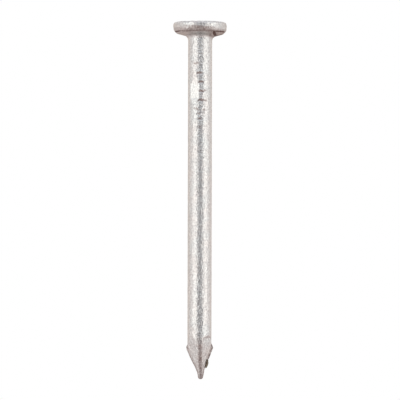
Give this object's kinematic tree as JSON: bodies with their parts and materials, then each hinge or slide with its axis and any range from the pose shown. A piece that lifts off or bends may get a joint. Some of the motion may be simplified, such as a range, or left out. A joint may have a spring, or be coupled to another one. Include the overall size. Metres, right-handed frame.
{
  "type": "round wire nail",
  "caption": "Galvanised round wire nail: flat round head with a coned neck, plain shank with gripper marks, sheared diamond point",
  "frame": {"origin": "Centre of the head's flat struck face", "axes": "+Z out of the head along the shank's axis, so the shank runs down -Z to the point; -Y faces the side whose gripper marks are seen; X runs across, through the two fins at the point"},
  "size_m": [0.0078, 0.0078, 0.0514],
  "materials": {
    "steel": "bare drawn wire, under the zinc",
    "zinc": "hot-dip zinc, satin with a fine mottle",
    "scrap": "dark scaled steel"
  },
  "bodies": {
    "root": {"steel_core": "steel", "galvanised_coat": "zinc", "pinch_off_chip": "scrap"}
  },
  "joints": []
}
